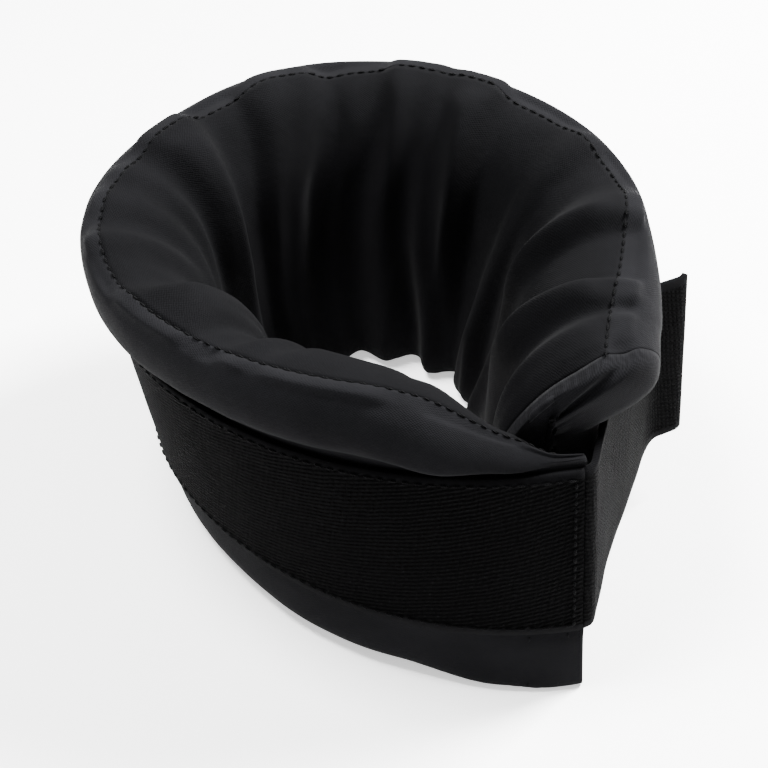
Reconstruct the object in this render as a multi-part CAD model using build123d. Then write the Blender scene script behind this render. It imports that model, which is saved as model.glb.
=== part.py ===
from build123d import *
import math
import os

# Soft foam cervical collar: a padded band curled round the neck and closed by a strap.
# Millimetres, +Z up, the collar stands on its lower edge.

# --- overall sizes -------------------------------------------------------------------
band_height = 96.0        # lower edge to top of the rim
foam_thickness = 25.0
fabric = 1.2              # outer cover and lining, each
layer_gap = 0.35          # each layer sits this far off the next
front_wall_radius = 102.0  # plan radii of the foam's middle, from the closure round the neck
front_wall_turn = 65.0     # degrees each stretch curves through
left_loop_radius = 57.8
left_loop_turn = 127.0
right_loop_radius = 54.1
right_loop_turn = 91.0
right_wall_radius = 650.0
right_wall_turn = 5.85
left_end = (52.0, -47.0)  # plan point where the band starts at the closure
start_heading = 192.0     # degrees, the way the band leaves the closure

# --- section through the band --------------------------------------------------------
lower_corner = 0.34       # corner rounding as a share of the thickness
hem_flat = 0.08           # the hem's underside is pressed level this far up
rim_round = 0.48
rim_bulge = 4.5           # how far the rim swells out above the tape
right_end_bulge = 13.0
rim_flare = 4.0           # how far the whole rim tips outwards
seam_share = -0.22        # top seam's place across the thickness, from the middle
front_lean = -15.5        # degrees, the front wall tips inwards at the top
back_lean = 10.0          # and the back wall outwards
lean_run = 0.42           # share of the length over which one lean becomes the other
right_lean = 0.0          # the right end stands upright again
right_lean_from = 0.8

# --- closed ends ---------------------------------------------------------------------
flap_length = 7.0         # flat sewn flap where the two cloths meet with no foam
nose_length = 12.0        # foam's thin end, where the padding starts
nose_thickness = 9.0
taper_length = 24.0       # from the nose up to full thickness
flap_drop = 15.0          # the flap's top edge falls this far below the rim
foam_back = 3.0           # foam starts this far inside the padding
flap_core = 1.6           # space left between the cloths in the flap
cap_depth = 4.0           # padded closing panel on the right end
cap_inset = 5.0

# --- tape and strap ------------------------------------------------------------------
tape_width = 51.0
tape_thickness = 1.8
tape_low = 22.0
tape_start = 1.0
tape_end_gap = 6.0        # tape stops this far short of the right end
strap_reach = 68.0        # straight run of the strap
strap_bend_radius = 4.0
strap_heading = 68.5      # degrees, the strap's way in plan
strap_tab = 12.0          # free end, curled away for the fingers
strap_tab_turn = 38.0
strap_tab_radius = 14.0
hook_length = 40.0
hook_thickness = 1.0
hook_margin = 2.0
strap_clearance = 0.5     # from the flap's edge to the strap's root
hook_offset = 4.0         # bare strap between its bend and the hook patch

# --- threads -------------------------------------------------------------------------
thread = 0.6
thread_width = 0.9
seam_inset = 2.2          # thread rows sit this far inside the tape's edges
flap_row_near = 13.0
flap_row_far = 4.0
strap_row = 3.0
flap_row_low = 3.0

# --- nape split and lofting ----------------------------------------------------------
nape_gap = 0.3            # the band flexes here, so its long pieces stop either side
section_step = 14.0

foam_low, foam_high = fabric, band_height - fabric
taper_start = flap_length + nose_length
tape_high = tape_low + tape_width
tape_base = fabric + layer_gap
thread_base = tape_base + tape_thickness + layer_gap


def heading_vector(degrees):
    return Vector(math.cos(math.radians(degrees)), math.sin(math.radians(degrees)))


front_arc = JernArc(left_end, heading_vector(start_heading), front_wall_radius, -front_wall_turn)
left_loop = JernArc(front_arc @ 1, front_arc % 1, left_loop_radius, -left_loop_turn)
right_loop = JernArc(left_loop @ 1, left_loop % 1, right_loop_radius, -right_loop_turn)
right_arc = JernArc(right_loop @ 1, right_loop % 1, right_wall_radius, -right_wall_turn)
spine = Wire([front_arc.edge(), left_loop.edge(), right_loop.edge(), right_arc.edge()])
band_length = spine.length


def smooth(value):
    value = min(max(value, 0.0), 1.0)
    return value * value * (3 - 2 * value)


def lean_at(share):
    lean = front_lean + (back_lean - front_lean) * smooth(share / lean_run)
    return lean + (right_lean - back_lean) * smooth((share - right_lean_from) / (1 - right_lean_from))


def section_frame(along):
    """Vertical plane across the band: X points outwards, Y up."""
    share = min(max(along / band_length, 0.0), 1.0)
    point, way = spine.position_at(share), spine.tangent_at(share)
    point += way * (along - share * band_length)
    return Plane(origin=point, x_dir=Vector(-way.Y, way.X), z_dir=way)


def foam_at(along):
    nose = nose_thickness * smooth((along - flap_length) / nose_length)
    rest = foam_thickness - flap_core - nose_thickness
    return flap_core + nose + rest * smooth((along - taper_start) / taper_length)


def top_at(along):
    """Top of the foam, which falls away towards the flap's corner."""
    return foam_high - flap_drop * (1 - smooth(along / (taper_start + taper_length)))


def place(along, thickness, across, height):
    """Shift one section point for the lean, the rim's flare and the thinning at the flap."""
    lean = math.tan(math.radians(lean_at(along / band_length)))
    above = max(height - tape_high, 0.0) / (band_height - tape_high)
    shift = (height - band_height / 2) * lean + rim_flare * above ** 2
    return (across + shift + (foam_thickness - thickness) / 2, height)


def outline(along, grow, seam_back=0.0, hem_back=0.0):
    """Nine Bezier curves round the section, from the top seam over the rim and back.

    seam_back and hem_back stop a cloth short of its neighbour at the rim and the hem.
    """
    t = foam_at(along)
    full = t / foam_thickness
    share = along / band_length
    half = t / 2 + grow
    bulge = (rim_bulge + (right_end_bulge - rim_bulge) * smooth((share - 0.75) / 0.2)) * full
    low, high = foam_low - grow, top_at(along) + grow
    corner, rim = lower_corner * t + grow, rim_round * t + grow
    seam = seam_share * t - seam_back
    hem = corner - half + hem_back
    k = 0.55
    waist = tape_high + 1.5
    roll = max(high - rim, waist + 0.5)
    curves = [
        [(seam, high), (seam + k * (half + bulge - seam), high),
         (half + bulge, roll + k * rim), (half + bulge, roll)],
        [(half + bulge, roll), (half + bulge, roll - 0.5 * (roll - waist)),
         (half, waist + 0.4 * (roll - waist)), (half, waist)],
        [(half, waist), (half, low + corner)],
        [(half, low + corner), (half, low + (1 - k) * corner),
         (half - (1 - k) * corner, low), (half - corner, low)],
        [(half - corner, low), (hem, low)],
        [(hem, low), ((1 - k) * corner - half, low),
         (-half, low + (1 - k) * corner), (-half, low + corner)],
        [(-half, low + corner), (-half, waist)],
        [(-half, waist), (-half, roll)],
        [(-half, roll), (-half, roll + k * rim), (seam + k * (-half - seam), high), (seam, high)],
    ]
    return [[place(along, t, u, v) for u, v in curve] for curve in curves]


def edges_of(curves):
    return [Line(*c) if len(c) == 2 else Bezier(*c) for c in curves]


def on_band(along, edges):
    return section_frame(along) * make_face(edges)


def foam_face(along):
    return on_band(along, edges_of(outline(along, -layer_gap)))


def panel_face(along, first, last, **short):
    """Thin cloth section that follows curves first..last of the outline."""
    inner = outline(along, 0.0, **short)[first:last + 1]
    outer = outline(along, fabric, **short)[first:last + 1]
    caps = [[outer[-1][-1], inner[-1][-1]], [inner[0][0], outer[0][0]]]
    return on_band(along, edges_of(outer + inner + caps))


def strip_face(along, base, rise, low, high):
    """Flat strip on the outer face between two heights."""
    t = foam_at(along)
    near, far = t / 2 + base, t / 2 + base + rise
    corners = [(near, low), (far, low), (far, high), (near, high)]
    points = [place(along, t, u, v) for u, v in corners]
    return on_band(along, [Line(a, b) for a, b in zip(points, points[1:] + points[:1])])


def seam_thread(start, stop):
    """Round thread lying along the rim where the cover meets the lining."""
    count = math.ceil((stop - start) / section_step)
    spots = []
    for index in range(count + 1):
        along = start + (stop - start) * index / count
        top = top_at(along) + fabric + thread / 2 + layer_gap
        spot = place(along, foam_at(along), seam_share * foam_at(along), top)
        spots.append(section_frame(along).from_local_coords(Vector(*spot)))
    path = Spline(*spots)
    return sweep(Plane(origin=path @ 0, z_dir=path % 0) * Circle(thread / 2), path=path)


def upright_row(along, base, low, high):
    """Row of stitching that runs up the band at one place along it."""
    ends = (along - thread_width / 2, along + thread_width / 2)
    return loft([strip_face(end, base, thread, low, high) for end in ends])


def ribbon(start, heading, steps, side):
    """Plan curve of straight and curved steps, carried to one side of its middle line."""
    at = start + heading_vector(heading + 90) * side
    edges = []
    for kind, size, turn in steps:
        if kind == "line":
            edges.append(Line(at, at + heading_vector(heading) * size))
        else:
            radius = size - math.copysign(side, turn)
            edges.append(JernArc(at, heading_vector(heading), radius, turn).edge())
            heading += turn
        at = edges[-1] @ 1
    return edges


def ribbon_face(start, heading, steps, near, far):
    one, other = (ribbon(start, heading, steps, side) for side in (near, far))
    ends = [Line(one[0] @ 0, other[0] @ 0), Line(one[-1] @ 1, other[-1] @ 1)]
    return make_face(one + other + ends)


def stations(start, stop):
    """Places for the lofted sections: closer together through the flap and taper."""
    level = taper_start + 1.2 * taper_length
    taper = [flap_length / 2]
    taper += [flap_length + nose_length * share for share in (0.0, 0.35, 0.7)]
    taper += [taper_start + taper_length * share for share in (0.0, 0.35, 0.7, 1.0)]
    count = math.ceil((stop - level) / section_step)
    first = max(level, start)
    even = [first + (stop - first) * index / count for index in range(count + 1)]
    if start >= level:
        return even
    return [start] + [along for along in taper if along > start + 2.0] + even


def run(face_at, start, stop):
    return loft([face_at(along) for along in stations(start, stop)])


# --- long pieces, whole ----------------------------------------------------------------
stop = band_length - tape_end_gap
whole = {
    "foam_core": run(foam_face, flap_length + foam_back, band_length),
    "outer_cover": run(lambda a: panel_face(a, 0, 4, hem_back=layer_gap), 0.0, band_length),
    "inner_lining": run(lambda a: panel_face(a, 5, 8, seam_back=layer_gap), 0.0, band_length),
    "loop_tape": run(lambda a: strip_face(a, tape_base, tape_thickness, tape_low, tape_high),
                     tape_start, stop),
    "rim_seam_stitching": seam_thread(taper_start, band_length - 2.0),
}
on_tape = run(lambda a: strip_face(a, thread_base, thread, tape_low, tape_high),
              tape_start + 1.0, stop - 1.0)
for name, height in (("tape_upper_stitching", tape_high - seam_inset),
                     ("tape_lower_stitching", tape_low + seam_inset)):
    whole[name] = on_tape & Pos(0, 0, height) * Box(4 * band_height, 4 * band_height, thread_width)

# --- nape split: each long piece becomes a left and a right length -----------------------
nape = section_frame(front_arc.length + left_loop.length)
slot = nape * Pos(0, band_height / 2, 0) * Box(6 * foam_thickness, 2 * band_height, nape_gap)
standing_plane = Plane.XY.offset(hem_flat)
for name in ("outer_cover", "inner_lining"):    # pressed level where the collar stands
    whole[name] = split(whole[name], bisect_by=standing_plane, keep=Keep.TOP)
pieces = {}
for name, solid in whole.items():
    halves = sorted((solid - slot).solids(), key=lambda half: half.center().X)
    pieces[f"{name}_left"], pieces[f"{name}_right"] = halves

# --- padded closing panel on the right end ----------------------------------------------
cap_steps = [(0.0, 0.0), (0.55, 0.3), (1.0, 1.0)]     # share of depth, share of inset
pieces["end_panel"] = loft([
    section_frame(band_length + layer_gap + cap_depth * reach)
    * make_face(edges_of(outline(band_length, fabric - cap_inset * draw)))
    for reach, draw in cap_steps])
pieces["end_panel"] = split(pieces["end_panel"], bisect_by=standing_plane, keep=Keep.TOP)

# --- stitch rows down the flap and across the tape's end ---------------------------------
pieces["flap_inner_stitching"] = upright_row(flap_row_near, fabric + layer_gap, flap_row_low, tape_low - 1.0)
pieces["flap_outer_stitching"] = upright_row(flap_row_far, fabric + layer_gap, flap_row_low, tape_low - 1.0)
pieces["tape_end_stitching"] = upright_row(
    strap_row, thread_base, tape_low + 2 * seam_inset, tape_high - 2 * seam_inset)

# --- closure strap and hook patch, both leaning with the flap's edge ----------------------
edge_frame = section_frame(0.0)
edge_out = flap_core / 2 + tape_base + tape_thickness / 2
edge_low, edge_high = (edge_frame.from_local_coords(
    Vector(*place(0.0, flap_core, edge_out, height))) for height in (tape_low, tape_high))
rise = edge_high - edge_low
leave = start_heading - 180
strap_start = edge_low + heading_vector(leave) * strap_clearance
first_turn = ("turn", strap_bend_radius, strap_heading - leave)
tab_arc = math.radians(strap_tab_turn) * strap_tab_radius
strap_steps = [first_turn, ("line", strap_reach, 0), ("turn", strap_tab_radius, -strap_tab_turn),
               ("line", strap_tab - tab_arc, 0)]
half = tape_thickness / 2
strap_face = ribbon_face(strap_start, leave, strap_steps, -half, half)
pieces["closure_strap"] = extrude(strap_face, amount=rise.length, dir=rise)

bend_end = ribbon(strap_start, leave, [first_turn], 0.0)[-1] @ 1
along_strap = heading_vector(strap_heading)
hook_start = bend_end + along_strap * hook_offset + rise.normalized() * hook_margin
hook_face = ribbon_face(hook_start, strap_heading, [("line", hook_length, 0)],
                        half, half + hook_thickness)
pieces["hook_patch"] = extrude(hook_face, amount=rise.length - 2 * hook_margin, dir=rise)

# --- put the origin under the middle of the whole collar, and save -------------------------
box = Compound(children=[piece.solid() for piece in pieces.values()]).bounding_box()
home = Vector(-box.center().X, -box.center().Y, -box.min.Z)
os.makedirs("parts", exist_ok=True)
for name, piece in pieces.items():
    export_step(Pos(*home) * piece.solid(), f"parts/{name}.step")
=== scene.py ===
import math
import bmesh
import bpy
import numpy as np
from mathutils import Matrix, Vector, kdtree, noise


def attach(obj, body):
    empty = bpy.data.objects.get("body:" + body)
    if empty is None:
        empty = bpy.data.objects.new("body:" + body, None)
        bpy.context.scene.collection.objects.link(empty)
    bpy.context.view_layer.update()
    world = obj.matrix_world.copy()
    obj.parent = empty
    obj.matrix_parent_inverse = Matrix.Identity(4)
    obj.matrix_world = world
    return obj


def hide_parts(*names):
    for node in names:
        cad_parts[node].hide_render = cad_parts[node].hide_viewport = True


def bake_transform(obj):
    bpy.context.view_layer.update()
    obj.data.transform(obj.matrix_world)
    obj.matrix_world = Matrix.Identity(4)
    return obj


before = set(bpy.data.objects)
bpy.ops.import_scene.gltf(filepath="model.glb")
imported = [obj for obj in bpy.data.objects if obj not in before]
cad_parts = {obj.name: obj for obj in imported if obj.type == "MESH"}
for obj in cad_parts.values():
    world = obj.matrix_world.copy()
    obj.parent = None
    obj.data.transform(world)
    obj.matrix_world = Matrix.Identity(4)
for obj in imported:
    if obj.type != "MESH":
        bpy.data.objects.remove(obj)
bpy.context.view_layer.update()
print("frame loaded")

# the band's plan is a chain of arcs, in metres and degrees, the same line as the CAD band
band = {
    "start": (0.04928, -0.06400), "heading": 192.0,
    "arcs": [(0.102, 65.0), (0.0578, 127.0), (0.0541, 91.0), (0.650, 5.85)],
    "height": 0.096, "thick": 0.0274, "tapeLow": 0.022, "tapeHigh": 0.073,
    "flap": 0.007, "nose": 0.012, "noseThick": 0.009, "taper": 0.024, "flapThick": 0.0036,
    "flapDrop": 0.0205, "dropRun": 0.060, "endSkew": 0.48, "skewRun": 0.035,
    "bulge": 0.0050, "endBulge": 0.0135, "flare": 0.0045,
    "seam": [(0.0, 0.05), (0.10, 0.20), (0.35, 0.30), (0.50, 0.02), (0.66, 0.05), (0.85, 0.32),
             (1.0, 0.30)],
    "corner": 0.34, "rim": 0.50, "innerRim": 1.15, "endDome": 0.0085, "endSquare": 0.55,
    "frontLean": -15.5, "backLean": 10.0, "leanRun": 0.42, "rightLeanFrom": 0.8,
}
bandLength = sum(radius * math.radians(turn) for radius, turn in band["arcs"])
napeAlong = sum(radius * math.radians(turn) for radius, turn in band["arcs"][:2])


def smooth(value):
    value = min(max(value, 0.0), 1.0)
    return value * value * (3 - 2 * value)


def spineAt(along):     # place and heading in radians on the middle line
    x, y = band["start"]
    heading = math.radians(band["heading"])
    left = min(max(along, 0.0), bandLength)
    over = along - left
    for radius, turn in band["arcs"]:
        part = min(left, radius * math.radians(turn))
        bend = part / radius
        x += radius * (math.sin(heading) - math.sin(heading - bend))
        y -= radius * (math.cos(heading) - math.cos(heading - bend))
        heading -= bend
        left -= part
        if left <= 1e-9:
            break
    return x + math.cos(heading) * over, y + math.sin(heading) * over, heading


def leanAt(along):
    share = along / bandLength
    lean = band["frontLean"] + (band["backLean"] - band["frontLean"]) * smooth(share / band["leanRun"])
    lean -= band["backLean"] * smooth((share - band["rightLeanFrom"]) / (1 - band["rightLeanFrom"]))
    return math.radians(lean)


def thickAt(along):
    taperStart = band["flap"] + band["nose"]
    nose = band["noseThick"] * smooth((along - band["flap"]) / band["nose"])
    rest = band["thick"] - band["flapThick"] - band["noseThick"]
    return band["flapThick"] + nose + rest * smooth((along - taperStart) / band["taper"])


def topAt(along):
    return band["height"] - band["flapDrop"] * (1 - smooth(along / band["dropRun"]))


def seamAt(along):       # the rim seam's place across the thickness
    stops = band["seam"]
    for (low, before), (high, after) in zip(stops, stops[1:]):
        if along / bandLength <= high:
            return before + (after - before) * smooth((along / bandLength - low) / (high - low))
    return stops[-1][1]


def place(along, across, height):
    skew = band["endSkew"] * smooth((along - bandLength + band["skewRun"]) / band["skewRun"])
    thick = thickAt(along)
    x, y, heading = spineAt(along - across * skew)
    above = max(height - band["tapeHigh"], 0.0) / (band["height"] - band["tapeHigh"])
    out = across + (height - band["height"] / 2) * math.tan(leanAt(along))
    out += band["flare"] * above ** 2 + (band["thick"] - thick) / 2
    return Vector((x - math.sin(heading) * out, y + math.cos(heading) * out, height))


def bezier(points, steps):
    a, b, c, d = (np.array(p, float) for p in points)
    t = np.linspace(0, 1, steps)[:, None]
    return a * (1 - t) ** 3 + 3 * b * t * (1 - t) ** 2 + 3 * c * t ** 2 * (1 - t) + d * t ** 3


def spread(points, count):
    steps = np.r_[0, np.cumsum(np.linalg.norm(np.diff(points, axis=0), axis=1))]
    marks = np.linspace(0, steps[-1], count + 1)[:-1]
    return np.c_[np.interp(marks, steps, points[:, 0]), np.interp(marks, steps, points[:, 1])]


rows = {"roll": 20, "tape": 14, "lower": 12, "lining": 32}


def outlineAt(along, grow=0.0):
    thick = thickAt(along) + 2 * grow
    share = along / bandLength
    full = min(thick / band["thick"], 1.0)
    half = thick / 2
    bulge = (band["bulge"] + (band["endBulge"] - band["bulge"]) * smooth((share - 0.75) / 0.2)) * full
    low, high = -grow, topAt(along) + grow
    corner, rim, seam = band["corner"] * thick, band["rim"] * thick, seamAt(along) * thick
    k, waist = 0.55, band["tapeHigh"] + 0.0012
    roll = max(high - rim, waist + 0.0005)
    over = bezier([(seam, high), (seam + k * (half + bulge - seam), high),
                   (half + bulge, roll + k * rim), (half + bulge, roll)], 24)
    down = bezier([(half + bulge, roll), (half + bulge, roll - 0.62 * (roll - waist)),
                   (half, waist + 0.22 * (roll - waist)), (half, waist)], 24)
    tapeFoot = band["tapeLow"] - 0.0012
    foot = bezier([(half, low + corner), (half, low + (1 - k) * corner),
                   (half - (1 - k) * corner, low), (half - corner, low)], 12)
    innerFoot = bezier([(corner - half, low), ((1 - k) * corner - half, low),
                        (-half, low + (1 - k) * corner), (-half, low + corner)], 12)
    slope = min(band["innerRim"] * thick, 0.45 * (high - low))     # the rim falls away inwards
    innerRim = bezier([(-half, high - slope), (-half, high - slope + k * slope),
                       (seam + k * (-half - seam), high), (seam, high)], 16)
    return np.vstack([
        spread(np.vstack([over, down[1:]]), rows["roll"]),
        spread(np.array([(half, waist), (half, tapeFoot)]), rows["tape"]),
        spread(np.vstack([[(half, tapeFoot)], foot, [(corner - half, low)]]), rows["lower"]),
        spread(np.vstack([innerFoot, innerRim]), rows["lining"])])


rowTapeTop = rows["roll"]
rowTapeFoot = rowTapeTop + rows["tape"]
rowHem = rowTapeFoot + rows["lower"]
rowCount = rowHem + rows["lining"]
columnStep = 0.0020
columnCount = int(bandLength / columnStep) + 1
domeColumns = 9


def skinGrid(grow=0.0):
    columns = []
    for index in range(columnCount):
        along = bandLength * index / (columnCount - 1)
        columns.append([place(along, u, z) for u, z in outlineAt(along, grow)])
    for index in range(1, domeColumns + 1):     # the right end swells shut
        angle = math.pi / 2 * index / domeColumns
        pull = (band["thick"] / 2 - 0.0006) * (1 - max(math.cos(angle), 0.0) ** band["endSquare"])
        along = bandLength + band["endDome"] * math.sin(angle) ** band["endSquare"]
        columns.append([place(along, u, z) for u, z in outlineAt(bandLength, -pull)])
    return columns


def makeMesh(name, points, faces, edges=()):
    mesh = bpy.data.meshes.new(name)
    mesh.from_pydata([tuple(p) for p in points], list(edges), list(faces))
    mesh.update()
    obj = bpy.data.objects.new(name, mesh)
    bpy.context.scene.collection.objects.link(obj)
    for polygon in mesh.polygons:
        polygon.use_smooth = True
    return obj


def tubeFaces(count, around, first=0, last=None, wrap=True):
    faces = []
    last = around if last is None else last
    for i in range(count - 1):
        for j in range(first, last):
            k = (j + 1) % around if wrap else j + 1
            faces.append((i * around + j, (i + 1) * around + j, (i + 1) * around + k, i * around + k))
    return faces


def capFaces(first, around, flip):       # joins the two sides of a flat loop row by row
    faces = []
    shift = 5
    for step in range(around // 2):
        quad = [(shift + step) % around, (shift + step + 1) % around,
                (shift - step - 1) % around, (shift - step) % around]
        quad = list(dict.fromkeys(first + v for v in quad))
        if len(quad) > 2:
            faces.append(tuple(reversed(quad)) if flip else tuple(quad))
    return faces


# folds: seeded noise shapes them, and a short cloth run only settles them a little
folds = {"seed": 11, "extra": 1.18, "liningCap": 0.0105, "rollCap": 0.0036, "lowerCap": 0.0016,
         "start": 0.0062, "frames": 18, "pressure": 0.8, "quiet": 0.075, "pucker": 0.0034}
grid = np.array([[tuple(p) for p in column] for column in skinGrid()])
columnTotal = len(grid)
alongs = np.array([bandLength * i / (columnCount - 1) for i in range(columnCount)]
                  + [bandLength] * domeColumns)
faces = tubeFaces(columnTotal, rowCount)
faces += capFaces(0, rowCount, True) + capFaces((columnTotal - 1) * rowCount, rowCount, False)
skin = makeMesh("bandSkin", grid.reshape(-1, 3), faces)
normals = np.array([tuple(v.normal) for v in skin.data.vertices]).reshape(grid.shape)


def foldAt(along, height, seed):        # soft upright folds that lean, split and fade
    drift = 0.012 * noise.noise(Vector((along * 12, height * 16, seed)))
    drift += 0.55 * (height - 0.05) * noise.noise(Vector((along * 8, 0.3, seed + 5)))
    broad = noise.noise(Vector(((along + drift) * 58, height * 6, seed + 9)))
    fine = noise.noise(Vector(((along + drift * 1.5) * 125, height * 12, seed + 17)))
    sharp = 0.30 - abs(noise.noise(Vector(((along + drift * 0.7) * 44, height * 9, seed + 31))))
    return broad * 1.5 + fine * 0.5 + sharp * 1.3


def allowance():                         # how far each skin point may move
    cap = np.zeros((columnTotal, rowCount))
    for i in range(columnTotal):
        along = alongs[i]
        share = along / bandLength
        body = smooth((along - 0.030) / 0.05)
        back = smooth((share - folds["quiet"]) / 0.10) * (1 - 0.35 * smooth((share - 0.86) / 0.14))
        back *= 0.30 + 0.70 * smooth((share - 0.20) / 0.16)
        for j in range(rowCount):
            pucker = folds["pucker"] * smooth((share - 0.27) / 0.10) * smooth((0.97 - share) / 0.08)
            if j == 0:
                cap[i, j] = pucker
            elif j < rowTapeTop:
                rise = j / rowTapeTop
                edge = math.sin(math.pi * min(max(rise, 0.0), 1.0)) ** 0.6
                cap[i, j] = max(folds["rollCap"] * edge * (0.35 + 0.65 * body), pucker * (1 - rise))
            elif rowTapeFoot < j < rowHem:
                rise = (j - rowTapeFoot) / rows["lower"]
                cap[i, j] = folds["lowerCap"] * math.sin(math.pi * rise)
            elif j >= rowHem:
                rise = (j - rowHem) / rows["lining"]
                edge = smooth(rise / 0.10) * smooth((1 - rise) / 0.10)
                cap[i, j] = max(folds["liningCap"] * edge * back * body, pucker * smooth(rise / 0.2))
    return cap


cap = allowance()
startShape = grid.copy()
for i in range(columnTotal):
    for j in range(rowCount):
        z = grid[i, j, 2]
        if j >= rowHem or j < 4:
            lift = foldAt(alongs[i], z, folds["seed"]) * folds["start"]
        else:
            lift = foldAt(alongs[i] * 0.6, z, folds["seed"] + 40) * 0.0006
        limit = cap[i, j] * 0.8
        startShape[i, j] += normals[i, j] * min(max(lift, -limit), limit)


def settleFolds(obj, free):              # cloth run on the skin, with its sewn rows held
    basis = obj.shape_key_add(name="Basis")
    fuller = obj.shape_key_add(name="fuller")
    middle = np.array([-0.003, 0.010, 0.0])
    wide = grid.reshape(-1, 3).copy()
    factor = np.where(np.tile(np.arange(rowCount) >= rowHem, columnTotal), folds["extra"], 1.03)
    wide[:, :2] = middle[:2] + (wide[:, :2] - middle[:2]) * factor[:, None]
    fuller.data.foreach_set("co", wide.ravel())
    fuller.value = 0.0
    held = obj.vertex_groups.new(name="held")
    for index in np.nonzero(free.ravel() < 1e-5)[0]:
        held.add([int(index)], 1.0, "REPLACE")
    cloth = obj.modifiers.new("settle", "CLOTH")
    how = cloth.settings
    how.quality, how.mass, how.air_damping = 7, 0.12, 4.0
    how.tension_stiffness = how.compression_stiffness = 12.0
    how.shear_stiffness, how.bending_stiffness = 4.0, 0.35
    how.vertex_group_mass = held.name
    how.rest_shape_key = fuller
    how.use_pressure, how.uniform_pressure_force = True, folds["pressure"]
    how.effector_weights.gravity = 0.0
    cloth.collision_settings.use_collision = False
    cloth.point_cache.frame_start, cloth.point_cache.frame_end = 1, folds["frames"]
    scene = bpy.context.scene
    for frameNumber in range(1, folds["frames"] + 1):
        scene.frame_set(frameNumber)
    done = obj.evaluated_get(bpy.context.evaluated_depsgraph_get()).to_mesh()
    found = np.empty(len(done.vertices) * 3)
    done.vertices.foreach_get("co", found)
    scene.frame_set(1)
    return found.reshape(columnTotal, rowCount, 3)


skin.data.vertices.foreach_set("co", startShape.ravel())
simulated = settleFolds(skin, cap)
move = simulated - grid
length = np.linalg.norm(move, axis=2)
limit = np.where(length > cap, cap + 0.25 * np.tanh((length - cap) / 0.004) * cap, length)
outward = (move * normals).sum(axis=2)
shape = grid + move * (limit / np.maximum(length, 1e-9))[..., None]
sunk = np.minimum(outward, 0) * (limit / np.maximum(length, 1e-9))
shape -= normals * (np.minimum(sunk + 0.0022, 0))[..., None]     # cloth can't sink into the foam
print("folds settled, mean move from smooth", float(length.mean()), "largest", float(length.max()))
shape[..., 2] = np.maximum(shape[..., 2], 0.0003)     # nothing sinks through what it stands on
bpy.data.objects.remove(skin)

girth = np.zeros((columnTotal, rowCount + 1))
loop = np.concatenate([grid, grid[:, :1]], axis=1)
girth[:, 1:] = np.cumsum(np.linalg.norm(np.diff(loop, axis=1), axis=2), axis=1)


def gridPiece(name, columns, first, last):     # a patch of the skin, first to last row
    patch = np.concatenate([shape, shape[:, :1]], axis=1)[columns][:, first:last + 1]
    count, around = patch.shape[:2]
    obj = makeMesh(name, patch.reshape(-1, 3), tubeFaces(count, around, 0, around - 1, False))
    uvs = obj.data.uv_layers.new(name="cloth")
    lay = np.stack([np.repeat(alongs[columns][:, None], around, 1),
                    np.repeat(girth[columnCount // 2, first:last + 1][None], count, 0)], axis=2)
    lay = lay.reshape(-1, 2)
    for loopItem in obj.data.loops:
        uvs.data[loopItem.index].uv = lay[loopItem.vertex_index]
    return obj


def settle(obj):                         # modifiers become plain mesh
    graph = bpy.context.evaluated_depsgraph_get()
    mesh = bpy.data.meshes.new_from_object(obj.evaluated_get(graph), depsgraph=graph)
    obj.modifiers.clear()
    obj.data = mesh
    return obj


def shell(obj, thickness, level=1):
    if level:
        rounder = obj.modifiers.new("round", "SUBSURF")
        rounder.levels = rounder.render_levels = level
    wall = obj.modifiers.new("wall", "SOLIDIFY")
    wall.thickness, wall.offset = thickness, -1.0
    return settle(obj)


kdTree = kdtree.KDTree(columnCount * rowCount)
for i in range(columnCount):
    for j in range(rowCount):
        kdTree.insert(Vector(shape[i, j]), i * rowCount + j)
kdTree.balance()
nape = {"reach": 0.060}


def bandBend(obj):                       # bakes the object's place into its mesh; the share of the bend across the back is worked out for each point but not kept
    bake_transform(obj)
    for vertex in obj.data.vertices:
        along = alongs[kdTree.find(vertex.co)[1] // rowCount]
        smooth((along - napeAlong + nape["reach"]) / (2 * nape["reach"]))


# materials
class Val:                               # one shader value, so that maths reads as maths
    def __init__(self, look, socket):
        self.look, self.socket = look, socket

    def join(self, operation, *others):
        values = [o.socket if isinstance(o, Val) else o for o in others]
        made = self.look.node("ShaderNodeMath", {"operation": operation}, {0: self.socket,
                              **{i + 1: v for i, v in enumerate(values)}})
        return Val(self.look, made.outputs[0])

    def __add__(self, other): return self.join("ADD", other)
    def __mul__(self, other): return self.join("MULTIPLY", other)
    def __sub__(self, other): return self.join("SUBTRACT", other)
    def __pow__(self, other): return self.join("POWER", other)
    def __rsub__(self, other): return self * -1.0 + other
    __radd__, __rmul__ = __add__, __mul__

    def sine(self): return self.join("SINE")
    def size(self): return self.join("ABSOLUTE")
    def most(self, other): return self.join("MAXIMUM", other)


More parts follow.
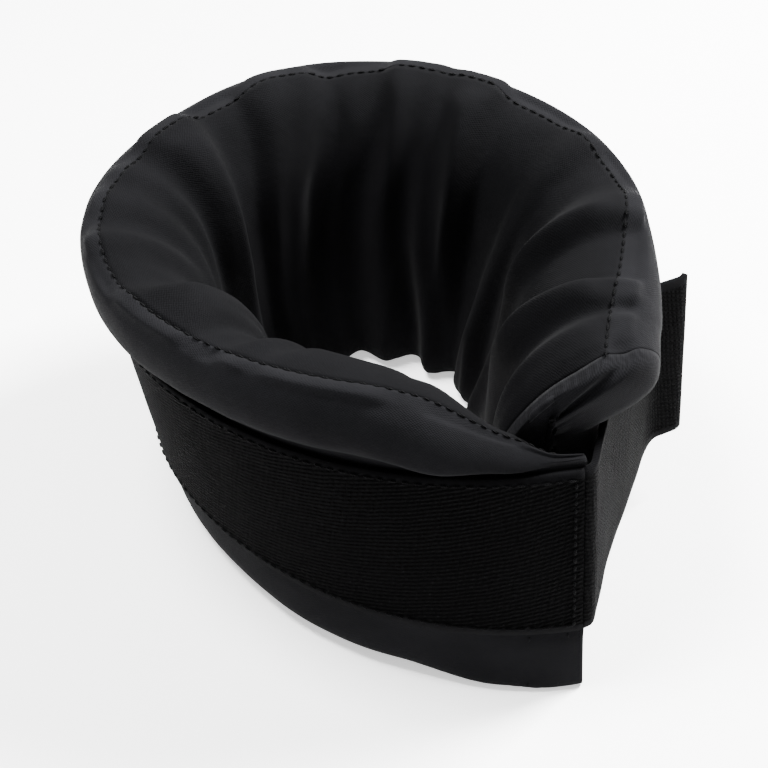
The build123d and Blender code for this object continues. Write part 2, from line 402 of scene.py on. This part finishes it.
class Look:
    def __init__(self, name, **constants):
        self.material = bpy.data.materials.new(name)
        self.material.use_nodes = True
        self.tree = self.material.node_tree
        self.surface = self.tree.nodes["Principled BSDF"]
        for socket, value in constants.items():
            self.surface.inputs[socket.replace("_", " ")].default_value = value

    def node(self, kind, settings=None, values=None):
        made = self.tree.nodes.new(kind)
        for key, value in (settings or {}).items():
            if key == "stops":
                ramp = made.color_ramp
                while len(ramp.elements) < len(value):
                    ramp.elements.new(0.5)
                for element, (at, shade) in zip(ramp.elements, value):
                    element.position, element.color = at, (*shade, 1.0)
            else:
                setattr(made, key, value)
        for key, value in (values or {}).items():
            value = value.socket if isinstance(value, Val) else value
            if isinstance(value, bpy.types.NodeSocket):
                self.tree.links.new(value, made.inputs[key])
            else:
                made.inputs[key].default_value = value
        return made

    def noise(self, where, scale, detail=3.0, rough=0.55):
        made = self.node("ShaderNodeTexNoise", {}, {"Vector": where, "Scale": scale,
                         "Detail": detail, "Roughness": rough})
        return Val(self, made.outputs["Fac"])

    def uv(self):
        split = self.node("ShaderNodeSeparateXYZ", {}, {0: self.node(
            "ShaderNodeUVMap", {"uv_map": "cloth"}).outputs[0]})
        return Val(self, split.outputs[0]), Val(self, split.outputs[1])

    def spot(self):
        return self.node("ShaderNodeTexCoord").outputs["Object"]

    def finish(self, tone, stops, rough, height, depth):
        ramp = self.node("ShaderNodeValToRGB", {"stops": stops}, {0: tone})
        bump = self.node("ShaderNodeBump", {}, {"Height": height, "Strength": 1.0, "Distance": depth})
        for name, socket in (("Base Color", ramp.outputs[0]), ("Roughness", rough.socket),
                             ("Normal", bump.outputs[0])):
            self.tree.links.new(socket, self.surface.inputs[name])
        return self.material


def cottonLook(name, dark, light, sheen, pitch=0.0009):
    look = Look(name, Sheen_Weight=sheen, Sheen_Roughness=0.45, Specular_IOR_Level=0.02)
    along, girthWay = look.uv()
    turn = 2 * math.pi / pitch
    weft = (along * turn + (girthWay * turn * 0.5).sine() * 0.8).sine()
    warp = (girthWay * turn * 1.25).sine()
    weave = (weft * warp) * 0.5 + 0.5
    cloudy = look.noise(look.spot(), 38.0, 4.0)
    fuzz = look.noise(look.spot(), 1900.0, 2.0, 0.7)
    crease = look.noise(look.spot(), 170.0, 3.0, 0.6)
    tone = weave * 0.28 + cloudy * 0.42 + fuzz * 0.30
    height = weave * 0.35 + fuzz * 0.5 + crease * 1.6
    return look.finish(tone, [(0.25, dark), (0.75, light)], 0.98 - weave * 0.10 - cloudy * 0.06,
                       height, 0.00022)


def loopLook(name, dark, light, sheen):
    look = Look(name, Sheen_Weight=sheen, Sheen_Roughness=0.35, Specular_IOR_Level=0.02)
    along, girthWay = look.uv()
    slope = along * 0.27                     # the knitted rows climb a little
    wander = look.noise(look.spot(), 120.0, 2.0) * 0.0011
    wale = ((girthWay + slope + wander) * (2 * math.pi / 0.00135)).sine()
    course = ((along + wander * 1.4 + girthWay * 0.10) * (2 * math.pi / 0.00150)).sine()
    loops = look.noise(look.spot(), 1350.0, 3.0, 0.75)
    knit = (wale * 0.5 + 0.5) * ((course * 0.3) + 0.7)
    patchy = look.noise(look.spot(), 46.0, 3.0)
    # painted highlight: bright glint speckles on the loops, painted into the base colour and made a little
    # less rough
    lit = (loops - 0.60).most(0.0) * 6.0
    tone = (knit * 0.40 + loops * 0.28 + patchy * 0.14 + lit * knit * 0.8)
    height = knit * 1.0 + loops * 1.1
    # the top stop, seven times the light tone, is the painted glint colour
    return look.finish(tone, [(0.22, dark), (0.62, light), (1.0, tuple(7.0 * c for c in light))],
                       0.95 - lit * 0.35, height, 0.00075)


def hookLook(name, dark, light):
    look = Look(name, Specular_IOR_Level=0.18)
    along, girthWay = look.uv()
    across = (along * (2 * math.pi / 0.0016)).sine()
    up = (girthWay * (2 * math.pi / 0.0013)).sine()
    dots = ((across * up).size() ** 1.6)
    grain = look.noise(look.spot(), 900.0)
    return look.finish(dots * 0.8 + grain * 0.2, [(0.2, dark), (0.9, light)],
                       0.65 - dots * 0.25, dots * 1.5 + grain * 0.2, 0.0007)


def threadLook(name, dark, light):
    look = Look(name, Sheen_Weight=0.004, Specular_IOR_Level=0.03)
    twist = look.node("ShaderNodeTexWave", {"wave_type": "BANDS", "bands_direction": "DIAGONAL"},
                      {"Vector": look.spot(), "Scale": 900.0, "Distortion": 2.0})
    ply = Val(look, twist.outputs["Fac"])
    grain = look.noise(look.spot(), 1200.0)
    return look.finish(ply * 0.6 + grain * 0.4, [(0.1, dark), (0.9, light)], 0.85 - ply * 0.15,
                       ply + grain * 0.4, 0.0003)


coverCloth = cottonLook("coverCotton", (0.0012, 0.0012, 0.0014), (0.0050, 0.0050, 0.0057), 0.012)
liningCloth = cottonLook("liningCotton", (0.0006, 0.0006, 0.0007), (0.0028, 0.0028, 0.0032), 0.006)
loopPile = loopLook("loopPile", (0.00003, 0.00003, 0.00004), (0.0006, 0.0006, 0.0007), 0.002)
hookTape = hookLook("hookTape", (0.001, 0.001, 0.0012), (0.012, 0.012, 0.0135))
selvage = cottonLook("selvageWeave", (0.0006, 0.0006, 0.0007), (0.0020, 0.0020, 0.0023), 0.005, 0.0006)
blackThread = threadLook("blackThread", (0.0003, 0.0003, 0.0004), (0.0020, 0.0020, 0.0023))

# the padded band: cover, lining and the panel that shuts the right end
bodyColumns = slice(0, columnCount)
cover = shell(gridPiece("outerCover", bodyColumns, 0, rowHem), 0.0011)
lining = shell(gridPiece("innerLining", bodyColumns, rowHem, rowCount), 0.0011)
endGrid = shape[columnCount - 1:]
endFaces = tubeFaces(domeColumns + 1, rowCount)
endFaces += capFaces(domeColumns * rowCount, rowCount, False)
endPanel = makeMesh("endPanel", endGrid.reshape(-1, 3), endFaces)
endUv = endPanel.data.uv_layers.new(name="cloth")
for item in endPanel.data.loops:
    spot = endPanel.data.vertices[item.vertex_index].co
    endUv.data[item.index].uv = (spot.x, spot.z)
shell(endPanel, 0.0010)
for piece, finish, nodes in (
        (cover, coverCloth, ["outer_cover_left", "outer_cover_right", "foam_core_left", "foam_core_right"]),
        (lining, liningCloth, ["inner_lining_left", "inner_lining_right"]),
        (endPanel, coverCloth, ["end_panel"])):
    piece.data.materials.clear()
    piece.data.materials.append(finish)
    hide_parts(*nodes)
bandBend(cover)
bandBend(lining)
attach(endPanel, "band_right")
print("padded band done")

# loop tape round the band, and the strap it runs on into
tape = {"rise": 0.0018, "step": 0.0015, "rowsUp": 26, "from": 0.0008, "short": 0.006,
        "low": 0.0220, "high": 0.0730, "selvage": 0.0022}


def ribbonBox(name, front, back, alongList, heights):    # closed strip from two grids
    count, up = front.shape[:2]
    total = count * up
    faces = [tuple(reversed(f)) for f in tubeFaces(count, up, 0, up - 1, False)]
    faces += [tuple(total + v for v in f) for f in tubeFaces(count, up, 0, up - 1, False)]
    for i in range(count - 1):
        for j, flip in ((0, False), (up - 1, True)):
            quad = [i * up + j, (i + 1) * up + j, total + (i + 1) * up + j, total + i * up + j]
            faces.append(tuple(quad) if flip else tuple(reversed(quad)))
    for j in range(up - 1):
        for i, flip in ((0, True), (count - 1, False)):
            quad = [i * up + j, i * up + j + 1, total + i * up + j + 1, total + i * up + j]
            faces.append(tuple(quad) if flip else tuple(reversed(quad)))
    obj = makeMesh(name, np.concatenate([front.reshape(-1, 3), back.reshape(-1, 3)]), faces)
    bm = bmesh.new()
    bm.from_mesh(obj.data)
    bmesh.ops.recalc_face_normals(bm, faces=bm.faces)
    bm.to_mesh(obj.data)
    bm.free()
    uvs = obj.data.uv_layers.new(name="cloth")
    for item in obj.data.loops:
        index = item.vertex_index % total
        uvs.data[item.index].uv = (alongList[index // up], heights[index % up])
    return obj


def facePoint(along, height, lift):      # on the cover's outer face
    return place(along, thickAt(along) / 2 + lift, height)


tapeAlongs = np.arange(tape["from"], bandLength - tape["short"], tape["step"])
tapeHeights = np.linspace(tape["low"], tape["high"], tape["rowsUp"])
front, back = [], []
for along in tapeAlongs:
    ripple = [0.00022 * noise.noise(Vector((along * 90, z * 60, 3.0))) for z in tapeHeights]
    front.append([tuple(facePoint(along, z, tape["rise"] + r)) for z, r in zip(tapeHeights, ripple)])
    back.append([tuple(facePoint(along, z, 0.0001)) for z in tapeHeights])
loopTape = ribbonBox("loopTape", np.array(front), np.array(back), tapeAlongs, tapeHeights)
loopTape.data.materials.append(loopPile)
loopTape.data.materials.append(selvage)
for polygon in loopTape.data.polygons:
    if not tape["low"] + tape["selvage"] < polygon.center.z < tape["high"] - tape["selvage"]:
        polygon.material_index = 1
bandBend(loopTape)
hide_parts("loop_tape_left", "loop_tape_right")

strap = {"path": [(0.0530, -0.0853), (0.0556, -0.0835), (0.0575, -0.0770), (0.0626, -0.0592),
                  (0.0690, -0.0425), (0.0740, -0.0290), (0.0783, -0.0180), (0.0815, -0.0128),
                  (0.0860, -0.0103), (0.0893, -0.0086), (0.0912, -0.0060)],
         "leanTop": (-0.0029, 0.0138), "thick": 0.0017, "hookLength": 0.040, "hookThick": 0.0010,
         "hookMargin": 0.0020, "step": 0.0012, "rootSteps": 9, "sag": 0.0010}


def smoothPath(points, step):            # even points on a rounded line
    points = [Vector((*p, 0)) for p in points]
    ends = [points[0] * 2 - points[1]] + points + [points[-1] * 2 - points[-2]]
    fine = []
    for a, b, c, d in zip(ends, ends[1:], ends[2:], ends[3:]):
        for t in np.linspace(0, 1, 14)[:-1]:
            fine.append(0.5 * ((2 * b) + (c - a) * t + (2 * a - 5 * b + 4 * c - d) * t * t
                               + (3 * b - a - 3 * c + d) * t ** 3))
    fine.append(points[-1])
    fine = np.array([tuple(p) for p in fine])
    marks = np.r_[0, np.cumsum(np.linalg.norm(np.diff(fine, axis=0), axis=1))]
    even = np.arange(0, marks[-1], step)
    line = np.stack([np.interp(even, marks, fine[:, 0]), np.interp(even, marks, fine[:, 1])], axis=1)
    return line, even


strapLine, strapMarks = smoothPath(strap["path"], strap["step"])
strapWay = np.gradient(strapLine, axis=0)
strapWay /= np.linalg.norm(strapWay, axis=1)[:, None]
strapOut = np.stack([strapWay[:, 1], -strapWay[:, 0]], axis=1)        # away from the neck


def strapPoint(index, height, lift):
    share = (height - tape["low"]) / (tape["high"] - tape["low"])
    x, y = strapLine[index] + strapOut[index] * lift
    sag = strap["sag"] * math.sin(math.pi * share) * math.sin(math.pi * index / len(strapLine))
    return (x + strap["leanTop"][0] * share + strapOut[index, 0] * sag,
            y + strap["leanTop"][1] * share + strapOut[index, 1] * sag, height)


strapHeights = np.linspace(tape["low"], tape["high"], tape["rowsUp"])
front = [[strapPoint(i, z, strap["thick"] / 2 + 0.0002 * noise.noise(Vector((i * 0.11, z * 60, 7.0))))
          for z in strapHeights] for i in range(len(strapLine))]
back = [[strapPoint(i, z, -strap["thick"] / 2) for z in strapHeights] for i in range(len(strapLine))]
closureStrap = ribbonBox("closureStrap", np.array(front), np.array(back), strapMarks, strapHeights)
closureStrap.data.materials.append(loopPile)
closureStrap.data.materials.append(selvage)
for polygon in closureStrap.data.polygons:
    if not tape["low"] + tape["selvage"] < polygon.center.z < tape["high"] - tape["selvage"]:
        polygon.material_index = 1
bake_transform(closureStrap)
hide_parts("closure_strap")

strapEnd = len(strapLine) - 2
hookFrom = strapEnd - int(strap["hookLength"] / strap["step"])
hookHeights = np.linspace(tape["low"] + strap["hookMargin"], tape["high"] - strap["hookMargin"], 24)
inner = -strap["thick"] / 2
front = [[strapPoint(i, z, inner - 0.0001) for z in hookHeights] for i in range(hookFrom, strapEnd)]
back = [[strapPoint(i, z, inner - strap["hookThick"]) for z in hookHeights]
        for i in range(hookFrom, strapEnd)]
hookPatch = ribbonBox("hookPatch", np.array(front), np.array(back), strapMarks[hookFrom:], hookHeights)
hookPatch.data.materials.append(hookTape)
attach(hookPatch, "strap")
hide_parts("hook_patch")
print("tape and strap done")

# stitches, one tree for every row
stitch = {"pitch": 0.0034, "fill": 0.74, "width": 0.00075, "lift": 0.0002, "seed": 4,
          "upper": 0.0708, "lower": 0.0242, "endsAt": 0.008, "startsAt": 0.004,
          "flapLow": 0.003, "flapHigh": 0.021}


def stitchTree(finish):
    tree = bpy.data.node_groups.new("stitchRow", "GeometryNodeTree")
    for name, kind, way in (("Geometry", "NodeSocketGeometry", "INPUT"),
                            ("Pitch", "NodeSocketFloat", "INPUT"),
                            ("Length", "NodeSocketFloat", "INPUT"), ("Width", "NodeSocketFloat", "INPUT"),
                            ("Seed", "NodeSocketInt", "INPUT"), ("Thread", "NodeSocketMaterial", "INPUT"),
                            ("Geometry", "NodeSocketGeometry", "OUTPUT")):
        tree.interface.new_socket(name, in_out=way, socket_type=kind)

    def add(kind, settings=None, **links):
        made = tree.nodes.new(kind)
        for key, value in (settings or {}).items():
            setattr(made, key, value)
        for key, value in links.items():
            socket = made.inputs[int(key[1:])] if key[0] == "_" else made.inputs[key]
            if isinstance(value, bpy.types.NodeSocket):
                tree.links.new(value, socket)
            else:
                socket.default_value = value
        return made

    given = add("NodeGroupInput").outputs
    curve = add("GeometryNodeMeshToCurve", Mesh=given["Geometry"])
    spots = add("GeometryNodeCurveToPoints", {"mode": "LENGTH"}, Curve=curve.outputs[0],
                Length=given["Pitch"])
    facing = add("GeometryNodeInputNamedAttribute", {"data_type": "FLOAT_VECTOR"}, Name="facing")
    turned = add("FunctionNodeAlignRotationToVector", {"axis": "X"}, Vector=spots.outputs["Tangent"])
    upright = add("FunctionNodeAlignRotationToVector", {"axis": "Z", "pivot_axis": "X"},
                  Rotation=turned.outputs[0], Vector=facing.outputs["Attribute"])
    bead = add("GeometryNodeMeshUVSphere", Segments=8, Rings=6, Radius=0.5)
    sizes = add("ShaderNodeCombineXYZ", X=given["Length"], Y=given["Width"], Z=given["Width"])
    formed = add("GeometryNodeTransform", Geometry=bead.outputs[0], Scale=sizes.outputs[0])
    uneven = add("FunctionNodeRandomValue", {"data_type": "FLOAT"}, Seed=given["Seed"])
    uneven.inputs[2].default_value, uneven.inputs[3].default_value = 0.82, 1.12
    placed = add("GeometryNodeInstanceOnPoints", Points=spots.outputs["Points"],
                 Instance=formed.outputs[0], Rotation=upright.outputs[0], Scale=uneven.outputs[1])
    real = add("GeometryNodeRealizeInstances", Geometry=placed.outputs[0])
    soft = add("GeometryNodeSetShadeSmooth", Geometry=real.outputs[0])
    done = add("GeometryNodeSetMaterial", Geometry=soft.outputs[0], Material=given["Thread"])
    add("NodeGroupOutput", _0=done.outputs[0])
    return tree


stitches = stitchTree(blackThread)


def stitchRows(name, lines, nodes, pitch=None, width=None):     # lines of (point, facing)
    points, facings, edges = [], [], []
    for line in lines:
        base = len(points)
        points += [p for p, f in line]
        facings += [f for p, f in line]
        edges += [(base + i, base + i + 1) for i in range(len(line) - 1)]
    obj = makeMesh(name, points, [], edges)
    attribute = obj.data.attributes.new("facing", "FLOAT_VECTOR", "POINT")
    attribute.data.foreach_set("vector", np.array([tuple(f) for f in facings], np.float32).ravel())
    modifier = obj.modifiers.new("stitches", "NODES")
    modifier.node_group = stitches
    sizes = {"Pitch": pitch or stitch["pitch"], "Length": (pitch or stitch["pitch"]) * stitch["fill"],
             "Width": width or stitch["width"], "Seed": stitch["seed"], "Thread": blackThread}
    for item in stitches.interface.items_tree:
        if item.in_out == "INPUT" and item.name in sizes:
            modifier[item.identifier] = sizes[item.name]
    settle(obj)
    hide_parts(*nodes)
    return obj


def faceRow(height, start, stop, lift):
    line = []
    for along in np.arange(start, stop, 0.003):
        at = facePoint(along, height, lift)
        line.append((at, facePoint(along, height, lift + 0.01) - at))
    return line


def standingRow(along, low, high, lift):
    heights = np.arange(low, high, 0.002)
    return [(facePoint(along, z, lift), facePoint(along, z, lift + 0.01) - facePoint(along, z, lift))
            for z in heights]


seamLine = []
for i in range(4, columnCount, 2):
    seamLine.append((Vector(shape[i, 0]) + Vector((0, 0, 0.0001)), Vector(normals[i, 0])))
rimRow = stitchRows("rimSeam", [seamLine], ["rim_seam_stitching_left", "rim_seam_stitching_right"],
                    width=0.0008)
bandBend(rimRow)
tapeTop = tape["rise"] + stitch["lift"]
rowStart, rowStop = stitch["startsAt"], bandLength - stitch["endsAt"]
upperRow = stitchRows("tapeUpperRow", [faceRow(stitch["upper"], rowStart, rowStop, tapeTop)],
                      ["tape_upper_stitching_left", "tape_upper_stitching_right"])
bandBend(upperRow)
lowerRow = stitchRows("tapeLowerRow", [faceRow(stitch["lower"], rowStart, rowStop, tapeTop)],
                      ["tape_lower_stitching_left", "tape_lower_stitching_right"])
bandBend(lowerRow)
endRows = stitchRows("tapeEndRow", [standingRow(0.003, 0.025, 0.070, tapeTop)], ["tape_end_stitching"],
                     pitch=0.0026, width=0.0009)
flapRows = stitchRows("flapRows", [standingRow(along, stitch["flapLow"], stitch["flapHigh"], stitch["lift"])
                                   for along in (0.013, 0.004)],
                      ["flap_inner_stitching", "flap_outer_stitching"], pitch=0.0030)
for piece in (endRows, flapRows):
    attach(piece, "band_left")
print("stitches done")

# floor, light and camera
paper = Look("palePaper", Specular_IOR_Level=0.1, Emission_Color=(1, 1, 1, 1), Emission_Strength=0.7)
paperTone = paper.noise(paper.spot(), 30.0)
paper.finish(paperTone, [(0.0, (0.93, 0.93, 0.93)), (1.0, (0.96, 0.96, 0.96))],
             0.9 - paperTone * 0.05, paperTone, 0.00002)
floor = makeMesh("floor", [(-3, -3, 0), (3, -3, 0), (3, 3, 0), (-3, 3, 0)], [(0, 1, 2, 3)])
floor.data.materials.append(paper.material)

view = {"target": (-0.00272, -0.01700, 0.050), "distance": 0.45, "elevation": 45.0, "lens": 70.3}
cameraData = bpy.data.cameras.new("camera")
cameraData.lens, cameraData.sensor_width = view["lens"], 36.0
camera = bpy.data.objects.new("camera", cameraData)
tilt = math.radians(view["elevation"])
camera.location = Vector(view["target"]) + Vector((0, -math.cos(tilt), math.sin(tilt))) * view["distance"]
camera.rotation_euler = (math.pi / 2 - tilt, 0, 0)
bpy.context.scene.collection.objects.link(camera)
bpy.context.scene.camera = camera

studio = {"sky": 0.75,          # lamps: place, size, power
          "key": ((0.45, 0.30, 0.62), 0.22, 52.0), "top": ((-0.30, 0.10, 0.80), 0.30, 30.0)}
world = bpy.data.worlds.new("studio")
world.use_nodes = True
world.node_tree.nodes["Background"].inputs["Color"].default_value = (1, 1, 1, 1)
world.node_tree.nodes["Background"].inputs["Strength"].default_value = studio["sky"]
bpy.context.scene.world = world
for name in ("key", "top"):
    at, size, power = studio[name]
    light = bpy.data.lights.new(name, "AREA")
    light.size, light.energy = size, power
    lamp = bpy.data.objects.new(name, light)
    lamp.location = at
    lamp.rotation_euler = (Vector((0, 0, 0.05)) - Vector(at)).to_track_quat("-Z", "Y").to_euler()
    bpy.context.scene.collection.objects.link(lamp)

print("scene ready")
